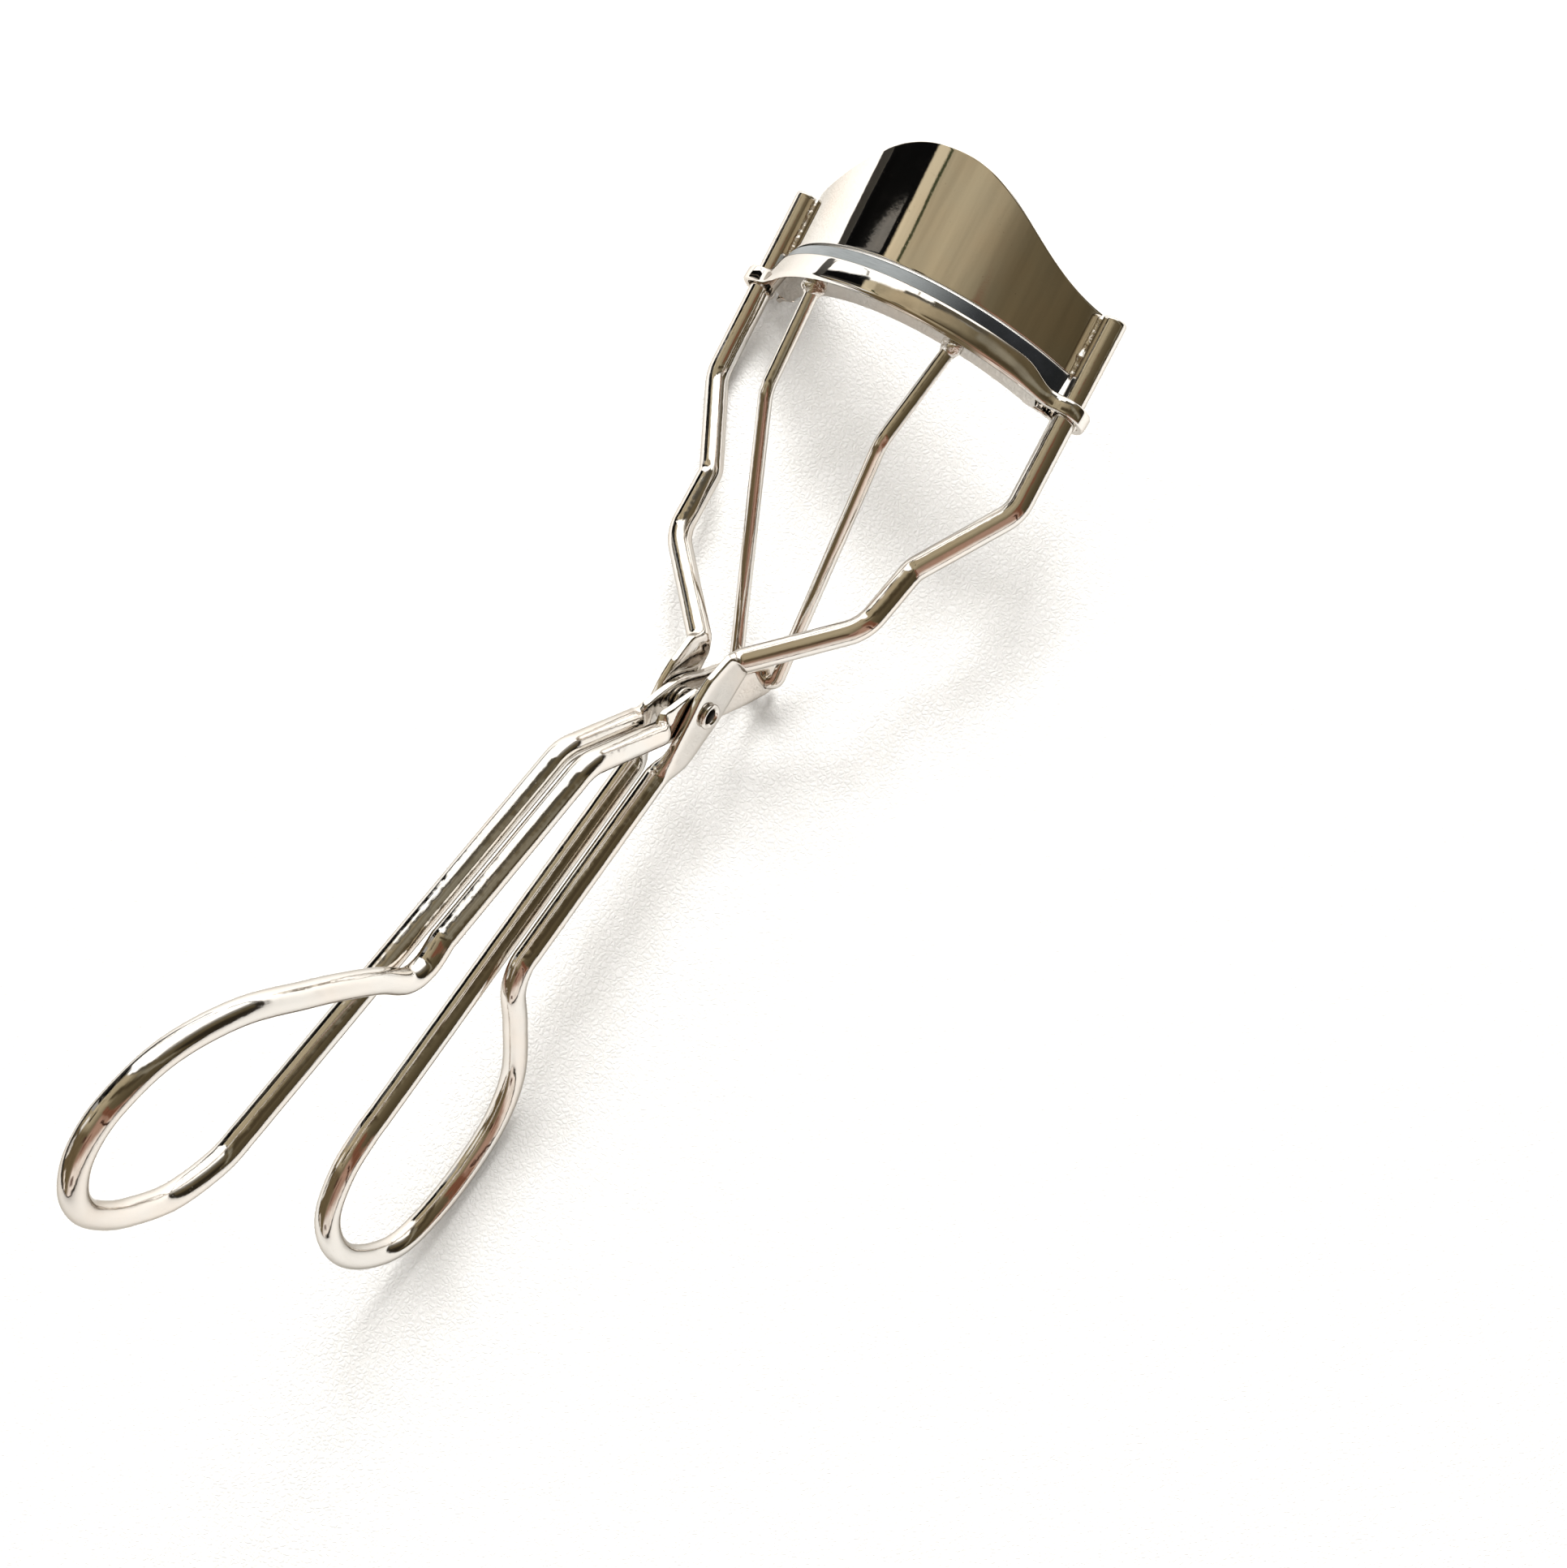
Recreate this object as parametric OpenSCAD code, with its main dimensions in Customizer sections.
// Scissor-type eyelash curler, lying on a table as it rests by itself.
// Millimetres. +Z is up from the table, +Y points from the finger loops to the head,
// +X runs, seen from above, along the hinge from the left rod to the right rod.
// The origin is on the table, at the middle of the tool's footprint (the centre of its
// bounding rectangle). The main hinge is 2.9 mm from it towards the head.

/* [Wire] */
// Diameter of the frame and lever wire
wire_d = 2.2; // [2.1:0.05:2.25]
// Diameter of the thin pusher wire
push_d = 1.3; // [1.1:0.05:1.4]
// Thickness of the flattened strips at the hinge
strip_t = 0.9; // [0.7:0.05:0.9]

/* [Head] */
// Distance between the centres of the two guide rods
rod_gap = 33.4; // [33:0.1:34.4]
// Height of the plate above the rod tops at its peak
dome_h = 6.5; // [4:0.5:8]
// Thickness of the upper plate
plate_t = 0.8; // [0.5:0.05:0.9]
// Radius of the curve along the middle of the pad
head_r = 17.25; // [17.1:0.05:17.4]
// Tilt of the lash line against the guide rods, degrees
lash_tilt = 10; // [8:0.5:11]

/* [Jaw] */
// Thickness of the jaw sheet
sheet_t = 0.5; // [0.4:0.05:0.6]
// Width of the pad between the two jaw walls
pad_w = 2.3; // [2.0:0.1:2.4]
// Height of the front wall of the jaw
wall_h = 2.4; // [2:0.1:2.6]
// How far the pad stands above the front wall
pad_out = 1.15; // [0.8:0.05:1.3]
// Gap left between the pad and the plate
lash_gap = 0.25; // [0.2:0.05:1.5]

/* [Handles] */
// Width of the finger loop on the frame
frame_loop_w = 14.7; // [13:0.1:16]
// Width of the finger loop on the lever
lever_loop_w = 17.7; // [16:0.1:19]
// Length of the finger loop on the frame
frame_loop_l = 30.1; // [28:0.1:33]
// Length of the finger loop on the lever
lever_loop_l = 33.1; // [31:0.1:35]

/* [Hidden] */

chrome = [0.80, 0.79, 0.77];
braze_grey = [0.72, 0.69, 0.64];
rubber_black = [0.13, 0.14, 0.16];

// Every part is modelled in the tool's own frame: origin at the main hinge, z along the
// guide rods to the head, x to the right rod, y towards the table. rest() lays it down.
wire_r = wire_d / 2;
push_r = push_d / 2;
half_strip = strip_t / 2;
wire_sides = 20;
push_sides = 14;

rod_x = rod_gap / 2;
rod_y = 6.31;
rod_top = 46.03;
rod_low = 27.65;
arc_y = 15.1;                          // centre of the lash curve
jaw_z = 36.3;                          // underside of the jaw, at the rods

frame_strip_x = 1.6 + half_strip;      // middles of the hinge strips
lever_strip_x = 1.55 - half_strip;
frame_wire_x = wire_r + 0.23;          // middles of the handle wires
lever_wire_x = wire_r + 0.28;
frame_line = [0.936, 0.302];           // handle lines as [y at z = 0, slope dy/dz]
lever_line = [-8.88, 0.435];

crank_dir = direction(28.5);           // hinge to cross bar, in the y-z plane
crank_r = 10;
cross_bar = crank_dir * crank_r;
rivet_r = 1.0;

// ---- resting attitude -------------------------------------------------
rest_pitch = 8.575;
rest_roll = -21.904;
rest_place = [-0.335, 2.9, 9.293];
module rest() translate(rest_place) rotate([0, rest_roll, 0])
    rotate([-90 + rest_pitch, 0, 0]) children();

// ---- path tools -------------------------------------------------------
function unit(v) = v / norm(v);
function lerp(a, b, t) = a + (b - a) * t;
function smooth(t) = t * t * (3 - 2 * t);
// [y, z] values: a unit direction, and the point of a handle line at height z
function direction(angle) = [cos(angle), sin(angle)];
function on_line(line, z) = [line[0] + line[1] * z, z];
function at_x(x, yz) = [x, yz[0], yz[1]];

// Arc that rounds the corner a-b-c, as steps + 1 points.
function bend(a, b, c, radius, steps) =
    let (to_a = unit(a - b),
         to_c = unit(c - b),
         half = acos(to_a * to_c) / 2,
         reach = radius / tan(half),
         centre = b + unit(to_a + to_c) * radius / sin(half),
         from = b + to_a * reach - centre,
         to = b + to_c * reach - centre,
         turn = 180 - 2 * half)
    [for (i = [0:steps])
        centre + (sin(turn * (1 - i / steps)) * from + sin(turn * i / steps) * to) / sin(turn)];

// Catmull-Rom curve through the points, without the last one.
function spline_point(points, i, t) =
    let (a = points[max(i - 1, 0)],
         b = points[i],
         c = points[i + 1],
         d = points[min(i + 2, len(points) - 1)])
    0.5 * ((2 * b) + (c - a) * t + (2 * a - 5 * b + 4 * c - d) * t * t
           + (3 * b - a - 3 * c + d) * t * t * t);
function spline(points, steps) =
    [for (i = [0:len(points) - 2]) for (j = [0:steps - 1]) spline_point(points, i, j / steps)];

// A swept wire is a list of stations:
// [centre, half size along the reference axis, half size across it, corner power].
// Power 1 gives an ellipse; a lower power gives squarer corners.
function round_wire(points, radius) = [for (p = points) [p, radius, radius, 1]];
// The same stations on the other side of x = 0, in reverse order.
function mirror_back(stations) =
    [for (i = [len(stations) - 1:-1:0])
        let (s = stations[i]) [[-s[0][0], s[0][1], s[0][2]], s[1], s[2], s[3]]];

function signed_power(v, power) = v < 0 ? -pow(-v, power) : pow(v, power);
function section(station, tangent, axis, sides) =
    let (along = unit(axis - (axis * tangent) * tangent),
         across = cross(tangent, along))
    [for (k = [0:sides - 1])
        let (angle = 360 * (k + 0.5) / sides)
        station[0] + along * station[1] * signed_power(cos(angle), station[3])
                   + across * station[2] * signed_power(sin(angle), station[3])];
function tangent_at(stations, i) =
    let (p = stations[i][0])
    unit((i < len(stations) - 1 ? unit(stations[i + 1][0] - p) : [0, 0, 0])
       + (i > 0 ? unit(p - stations[i - 1][0]) : [0, 0, 0]));

module sweep(stations, axis, sides) {
    count = len(stations);
    start_cap = count * sides;
    end_ring = (count - 1) * sides;
    points = concat(
        [for (i = [0:count - 1]) each section(stations[i], tangent_at(stations, i), axis, sides)],
        [stations[0][0], stations[count - 1][0]]);
    faces = concat(
        [for (i = [0:count - 2]) for (k = [0:sides - 1])
            let (next = (k + 1) % sides, low = i * sides, high = low + sides)
            each [[low + k, high + k, high + next], [low + k, high + next, low + next]]],
        [for (k = [0:sides - 1]) [start_cap, k, (k + 1) % sides]],
        [for (k = [0:sides - 1]) [start_cap + 1, end_ring + (k + 1) % sides, end_ring + k]]);
    polyhedron(points, faces, convexity = 10);
}

// Round hole along x, right through the tool
module cross_hole(radius) rotate([0, 90, 0]) cylinder(r = radius, h = 12, center = true, $fn = 32);

// ---- finger loops -----------------------------------------------------
// [distance down the handle, distance out], as parts of the loop's length and width
frame_loop = [
    [0.005, 0], [0.06, 0.008], [0.125, 0.105], [0.19, 0.345], [0.30, 0.69], [0.43, 0.89],
    [0.585, 0.98], [0.75, 1.0], [0.89, 0.945], [0.965, 0.79], [1.0, 0.565], [0.98, 0.34],
    [0.915, 0.155], [0.80, 0.035], [0.69, 0], [0.62, 0]];
lever_loop = [
    [0.02, 0], [0.09, -0.028], [0.15, 0.018], [0.20, 0.185], [0.265, 0.35], [0.345, 0.525],
    [0.475, 0.79], [0.635, 0.965], [0.795, 0.995], [0.905, 0.92], [0.975, 0.775], [1.0, 0.61],
    [0.985, 0.445], [0.945, 0.295], [0.865, 0.12], [0.745, 0.012], [0.65, 0], [0.58, 0]];
frame_loop_z = -24.35;                 // where the loops start
lever_loop_z = -24.2;

// Loop that starts on the handle line at start_z and crosses from +x to -x.
// out_sign 1 lays it on the +y side of the line, -1 on the -y side.
function loop_wire(shape, line, start_z, out_sign, width, length, x) =
    let (down = unit([-line[1], -1]),
         out = out_sign * [-down[1], down[0]],
         start = on_line(line, start_z),
         last = len(shape) - 1,
         points = [for (i = [0:last])
             at_x(lerp(x, -x, smooth(min(1, max(0, (i - 2) / (last - 4))))),
                  start + down * shape[i][0] * length + out * shape[i][1] * width)])
    round_wire(spline(points, 4), wire_r);

// ---- frame wire -------------------------------------------------------
// Corners of the right side: guide rod, wavy shoulder, hinge strip
frame_corners = [
    [rod_x, rod_y, rod_top],
    [rod_x, rod_y, rod_low],
    [rod_x - 5.3, 4.55, 19.3],
    [rod_x - 6.1, 2.97, 12.9],
    [frame_strip_x + 0.15, 1.05, 5.35],
    [frame_strip_x, 0.5, 2.2]];
frame_bends = [[3.6, 7], [2.0, 5], [4.2, 7]];   // [radius, steps] of the round bends
// Bend where the wire flattens into the strip
flat_bend_r = 1.25;
flat_bend_steps = 6;
flat_bend_w = 1.95;                    // half width at its end
// [y, z, half width] down the flat strip
frame_strip = [
    [0.38, 2.3, 2.42], [0.20, 1.0, 2.45], [0.12, 0, 2.38],
    [-0.02, -1.1, 2.2], [-0.17, -2.2, 2.03], [-0.33, -3.4, 1.87]];
// Strip turning back into round wire: [part of the way to the wire in x,
// y, z, half thickness, half width, corner power]
frame_taper = [
    [0.05, -0.50, -4.4, half_strip + 0.03, 1.68, 0.42],
    [0.3, -0.72, -5.3, lerp(half_strip, wire_r, 0.3), 1.42, 0.6],
    [0.75, -0.93, -6.1, lerp(half_strip, wire_r, 0.75), 1.2, 0.85]];
frame_round_z = -6.9;                  // round wire again from here down

function frame_corner(i, radius, steps) =
    bend(frame_corners[i], frame_corners[i + 1], frame_corners[i + 2], radius, steps);
function frame_side() =
    let (tip = frame_corners[0],
         flat_bend = frame_corner(3, flat_bend_r, flat_bend_steps))
    concat(
        // rounded rod tip: [depth, part of the full radius]
        [for (t = [[0, 0.72], [0.14, 0.93], [0.38, 1]])
            [tip - [0, 0, t[0]], wire_r * t[1], wire_r * t[1], 1]],
        [for (i = [0:2])
            each round_wire(frame_corner(i, frame_bends[i][0], frame_bends[i][1]), wire_r)],
        [for (i = [0:flat_bend_steps])
            let (t = smooth(i / flat_bend_steps))
            [flat_bend[i], lerp(wire_r, half_strip, t), lerp(wire_r, flat_bend_w, t),
             lerp(1, 0.45, t)]],
        [for (row = frame_strip) [[frame_strip_x, row[0], row[1]], half_strip, row[2], 0.4]],
        [for (row = frame_taper)
            [[lerp(frame_strip_x, frame_wire_x, row[0]), row[1], row[2]], row[3], row[4], row[5]]],
        round_wire([at_x(frame_wire_x, on_line(frame_line, frame_round_z))], wire_r));

module frame_wire() color(chrome) rest() difference() {
    sweep(concat(frame_side(),
                 loop_wire(frame_loop, frame_line, frame_loop_z, 1,
                           frame_loop_w, frame_loop_l, frame_wire_x),
                 mirror_back(frame_side())),
          [1, 0, 0], wire_sides);
    cross_hole(rivet_r + 0.01);
}

// ---- lever wire -------------------------------------------------------
heel_dir = -direction(38);             // hinge to the step where the round wire starts
heel_l = 4.9;
shank_dir = -direction(29);            // step to the bend of the lever
// The bend lies on the handle line.
shank_l = (lever_line[0] - (heel_dir[0] - lever_line[1] * heel_dir[1]) * heel_l)
    / (shank_dir[0] - lever_line[1] * shank_dir[1]);
lever_bend_r = 3.4;
crank_tip_r = 1.5;                     // rounded end of the crank strips
// [distance from the hinge, half width, corner power]; negative is along the heel
lever_strip = concat(
    [for (a = [12, 40, 65, 90])
        [crank_r + crank_tip_r * cos(a), crank_tip_r * sin(a), 0.45]],
    [[crank_r - 2.5, 1.72, 0.4], [3, 1.85, 0.4], [1.6, 2.05, 0.4], [0, 2.15, 0.4],
     [-1.6, 2.05, 0.4], [-3.2, 1.85, 0.4], [-heel_l + 0.4, 1.65, 0.42]]);

function strip_point(distance) = distance > 0 ? crank_dir * distance : -heel_dir * distance;
function shank_point(distance) =
    at_x(lever_wire_x, heel_dir * heel_l + shank_dir * distance);
function lever_side() =
    let (shank_start = shank_point(0.3),
         loop_start = at_x(lever_wire_x, on_line(lever_line, lever_loop_z)))
    concat(
        [for (row = lever_strip)
            [at_x(lever_strip_x, strip_point(row[0])), half_strip, row[1], row[2]]],
        [[at_x(lerp(lever_strip_x, lever_wire_x, 0.8), strip_point(-heel_l + 0.08)),
          wire_r * 0.86, wire_r * 0.98, 0.9]],
        round_wire([shank_start], wire_r),
        round_wire(bend(shank_start, shank_point(shank_l), loop_start, lever_bend_r, 8), wire_r));

module lever_wire() color(chrome) rest() difference() {
    sweep(concat(lever_side(),
                 loop_wire(lever_loop, lever_line, lever_loop_z, -1,
                           lever_loop_w, lever_loop_l, lever_wire_x),
                 mirror_back(lever_side())),
          [1, 0, 0], wire_sides);
    cross_hole(rivet_r + 0.05);
    translate(at_x(0, cross_bar)) cross_hole(push_r + 0.05);
}

// ---- hollow rivets ----------------------------------------------------
rivet_bore_r = 0.66;
rim_x = 2.74;                          // middle of the rolled rim
rim_r = 0.22;                          // radius of its roll
// side: -1 left, 1 right. The rivet's own z axis points outwards.
module rivet(side) color(chrome) rest() rotate([0, 90 * side, 0]) difference() {
    union() {
        translate([0, 0, 0.2]) cylinder(r = rivet_r, h = 2.52, $fn = 32);
        // rolled outer rim and the collar inside it
        translate([0, 0, rim_x]) rotate_extrude($fn = 48)
            translate([0.97, 0]) circle(r = rim_r, $fn = 24);
        translate([0, 0, rim_x - rim_r]) cylinder(r = 1.14, h = rim_r, $fn = 32);
        // flat inner head
        translate([0, 0, 0.24]) cylinder(r = 1.4, h = 0.34, $fn = 32);
    }
    translate([0, 0, -1]) cylinder(r = rivet_bore_r, h = 6, $fn = 32);
}
module rivet_left() rivet(-1);
module rivet_right() rivet(1);

// ---- pusher wire ------------------------------------------------------
leg_x = 7.42;                          // where the legs meet the underside of the jaw
leg_y = arc_y - sqrt(head_r * head_r - leg_x * leg_x);
leg_z = jaw_z + (rod_y - leg_y) * tan(lash_tilt);
leg_top = [leg_x, leg_y, leg_z + 0.16];
leg_kink = [6.24, -1.74, 27.36];
bar_corner = at_x(2.3, cross_bar);     // end of the cross bar

function push_side() = round_wire(
    concat([leg_top, lerp(leg_top, leg_kink, 0.06)],
           bend(leg_top, leg_kink, bar_corner, 3.2, 6),
           bend(leg_kink, bar_corner, at_x(0, cross_bar), 1.05, 7)),
    push_r);

// Block over the underside of the jaw, to trim what reaches into it
module jaw_block(z) jaw_frame() translate([-20, -20, z]) cube([40, 40, 10]);

module pusher_wire() color(chrome) rest() difference() {
    sweep(concat(push_side(), mirror_back(push_side())), [0, 1, 0], push_sides);
    jaw_block(-0.01);
}

// Brazed bead where a pusher leg meets the underside of the jaw
module pusher_braze(side) color(braze_grey) rest() difference() {
    top = [side * leg_top[0], leg_top[1], leg_top[2]];
    leg_dir = unit(top - [side * leg_kink[0], leg_kink[1], leg_kink[2]]);
    translate([side * leg_x, leg_y, leg_z]) union() {
        sphere(r = 1.05, $fn = 32);
        translate([side * 0.5, -0.35, -0.1]) sphere(r = 0.7, $fn = 32);
    }
    jaw_block(-0.012);
    // room for the leg
    translate(top - leg_dir * 6) rotate([0, acos(leg_dir[2]), atan2(leg_dir[1], leg_dir[0])])
        cylinder(r = push_r + 0.01, h = 10, $fn = 32);
}
module pusher_braze_left() pusher_braze(-1);
module pusher_braze_right() pusher_braze(1);

// ---- jaw and pad ------------------------------------------------------
// Frame of the jaw: its underside is z = 0, the rods cross it at y = 0
module jaw_frame() translate([0, rod_y, jaw_z]) rotate([-lash_tilt, 0, 0]) children();

jaw_inner_r = head_r - pad_w / 2 - sheet_t;
jaw_outer_r = head_r + pad_w / 2 + sheet_t;
jaw_angle = asin((rod_x - 2.1) / head_r);
pad_angle = asin((rod_x - 2.2) / head_r);
back_wall_h = wall_h - 0.4;
pad_h = wall_h + pad_out;
pad_corner_r = 0.45;
pad_fit = 0.01;                        // clearance of the pad in the jaw
slot_y = 0.34;                         // half the distance between the slot's end centres
hook_r = wire_r + 0.18;
hook_t = 0.62;
hook_h = 1.5;
hook_y = 0.05;

module lash_arc(angle) translate([0, arc_y - rod_y, 0]) rotate([0, 0, -90 - angle])
    rotate_extrude(angle = 2 * angle, $fn = 96) children();
module slot(radius, height) {
    translate([0, -slot_y, 0]) cylinder(r = radius, h = height, $fn = 32);
    translate([0, slot_y, 0]) cylinder(r = radius, h = height, $fn = 32);
    translate([-radius, -slot_y, 0]) cube([2 * radius, 2 * slot_y, height]);
}
// Passage for a guide rod, in line with the rod
module rod_slot(height) rotate([lash_tilt, 0, 0]) translate([0, 0, -2]) slot(hook_r, height);

module hook(side) translate([side * rod_x, 0, 0]) difference() {
    translate([0, hook_y, 0]) slot(hook_r + hook_t, hook_h);
    rod_slot(6);
    // opening on the +y side, turned towards the middle of the jaw
    rotate([0, 0, 90 + 38 * side]) translate([0, -0.45, -1]) cube([4, 0.9, 4]);
}

module lower_jaw() color(chrome) rest() jaw_frame() {
    difference() {
        union() {
            lash_arc(jaw_angle) polygon([
                [jaw_inner_r, 0], [jaw_outer_r, 0],
                [jaw_outer_r, wall_h], [jaw_outer_r - sheet_t, wall_h],
                [jaw_outer_r - sheet_t, sheet_t], [jaw_inner_r + sheet_t, sheet_t],
                [jaw_inner_r + sheet_t, back_wall_h], [jaw_inner_r, back_wall_h]]);
            for (side = [-1, 1]) hook(side);
        }
        for (side = [-1, 1]) translate([side * rod_x, 0, 0]) {
            rod_slot(8);
            // the front wall steps down to the height of the hook
            translate([-(side > 0 ? 2.5 : 1.6), -6, hook_h]) cube([4.1, 7, 5]);
        }
    }
}

module jaw_pad() color(rubber_black) rest() jaw_frame() difference() {
    half_w = pad_w / 2 - pad_fit;
    core_w = half_w - pad_corner_r;
    height = pad_h - sheet_t - pad_fit;
    lash_arc(pad_angle) translate([head_r, sheet_t + pad_fit]) {
        translate([-half_w, 0]) square([2 * half_w, height - pad_corner_r + pad_fit]);
        translate([-core_w, 0]) square([2 * core_w, height]);
        for (side = [-1, 1]) translate([side * core_w, height - pad_corner_r])
            circle(r = pad_corner_r, $fn = 24);
    }
    // notched round the hooks
    for (side = [-1, 1]) translate([side * rod_x, hook_y, -1])
        slot(hook_r + hook_t + 0.02, hook_h + 1.02);
}

// ---- upper plate ------------------------------------------------------
plate_r = head_r + 0.2;                // middle of the plate sheet
plate_angle = asin((rod_x - 0.95) / plate_r);
dome_half_w = rod_x - 0.9;
outline_x = 17.4;                      // half width of the sampled dome outline
outline_steps = 56;

function dome(x) = rod_top - 0.05
    + dome_h * (1 + cos(180 * pow(min(1, abs(x) / dome_half_w), 1.2))) / 2;

// Curved sheet of the plate; spare is added to the angle at each end
module plate_shell(thickness, spare, facets) translate([0, arc_y, 0])
    rotate([0, 0, -90 - plate_angle - spare])
    rotate_extrude(angle = 2 * plate_angle + 2 * spare, $fn = facets)
    translate([plate_r - thickness / 2, 36]) square([thickness, 22]);

module upper_plate() color(chrome) rest() intersection() {
    difference() {
        plate_shell(plate_t, 0, 128);
        // the plate lies against the two rods
        for (side = [-1, 1]) translate([side * rod_x, rod_y, 30])
            cylinder(r = wire_r + 0.01, h = 30, $fn = 64);
    }
    // domed top edge
    translate([0, 20, 0]) rotate([90, 0, 0]) linear_extrude(height = 40)
        polygon(concat(
            [[-20, 30], [20, 30], [20, dome(20)]],
            [for (i = [0:outline_steps])
                let (x = outline_x - i * 2 * outline_x / outline_steps) [x, dome(x)]],
            [[-20, dome(20)]]));
    // lower edge, parallel to the pad
    jaw_frame() translate([-30, -30, pad_h + lash_gap]) cube([60, 60, 30]);
}

// Brazed seam between the plate edge and a guide rod
module plate_braze(side) color(braze_grey) rest() difference() {
    translate([side * (rod_x - 1.25), rod_y + 0.02, 39.9]) cylinder(r = 0.54, h = 5.85, $fn = 96);
    translate([side * rod_x, rod_y, 30]) cylinder(r = wire_r + 0.008, h = 20, $fn = 192);
    plate_shell(plate_t + 0.016, 0.03, 720);
}
module plate_braze_left() plate_braze(-1);
module plate_braze_right() plate_braze(1);

frame_wire();
upper_plate();
plate_braze_left();
plate_braze_right();
rivet_left();
rivet_right();
lever_wire();
pusher_wire();
pusher_braze_left();
pusher_braze_right();
lower_jaw();
jaw_pad();
